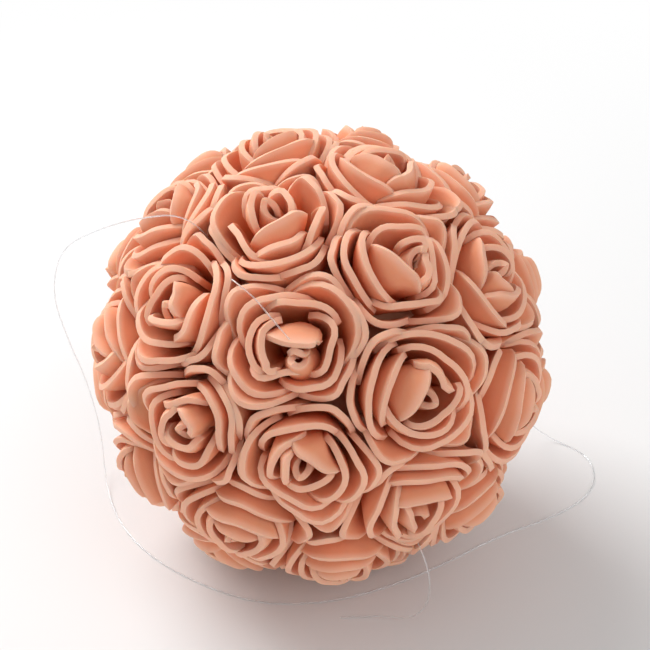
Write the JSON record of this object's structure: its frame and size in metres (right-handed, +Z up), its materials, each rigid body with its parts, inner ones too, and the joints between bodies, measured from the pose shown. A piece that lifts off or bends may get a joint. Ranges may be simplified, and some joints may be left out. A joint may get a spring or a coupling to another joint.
{
  "type": "foam rose ball",
  "caption": "Hanging flower ball: a round foam core covered all over with peach foam-sheet roses, with a thin clear hanging thread lying loose.",
  "frame": {"origin": "on the floor under the middle of the ball, which rests on its three lowest roses", "axes": "+Z up; -Y towards the side that faces the camera; +X to the right seen from there"},
  "size_m": [0.1482, 0.1183, 0.113],
  "materials": {
    "petal_foam": "matt closed-cell foam sheet with a soft bloom",
    "core_foam": "matt expanded foam",
    "stem_wire": "plain thin wire",
    "clear_nylon": "clear glossy monofilament"
  },
  "bodies": {
    "root": {"foam_core": "core_foam", "wire_stems": "stem_wire", "rose_01": "petal_foam", "rose_02": "petal_foam", "rose_03": "petal_foam", "rose_04": "petal_foam", "rose_05": "petal_foam", "rose_06": "petal_foam", "rose_07": "petal_foam", "rose_08": "petal_foam", "rose_09": "petal_foam", "rose_10": "petal_foam", "rose_11": "petal_foam", "rose_12": "petal_foam", "rose_13": "petal_foam", "rose_14": "petal_foam", "rose_15": "petal_foam", "rose_16": "petal_foam", "rose_17": "petal_foam", "rose_18": "petal_foam", "rose_19": "petal_foam", "rose_20": "petal_foam", "rose_21": "petal_foam", "rose_22": "petal_foam", "rose_23": "petal_foam", "rose_24": "petal_foam", "rose_25": "petal_foam", "rose_26": "petal_foam", "rose_27": "petal_foam", "rose_28": "petal_foam", "rose_29": "petal_foam", "rose_30": "petal_foam", "rose_31": "petal_foam", "rose_32": "petal_foam", "rose_33": "petal_foam", "rose_34": "petal_foam", "rose_35": "petal_foam", "rose_36": "petal_foam", "rose_37": "petal_foam", "rose_38": "petal_foam", "rose_39": "petal_foam", "rose_40": "petal_foam", "rose_41": "petal_foam", "rose_42": "petal_foam", "hanging_thread": "clear_nylon", "thread_front_end": "clear_nylon", "thread_top_end": "clear_nylon"}
  },
  "joints": []
}
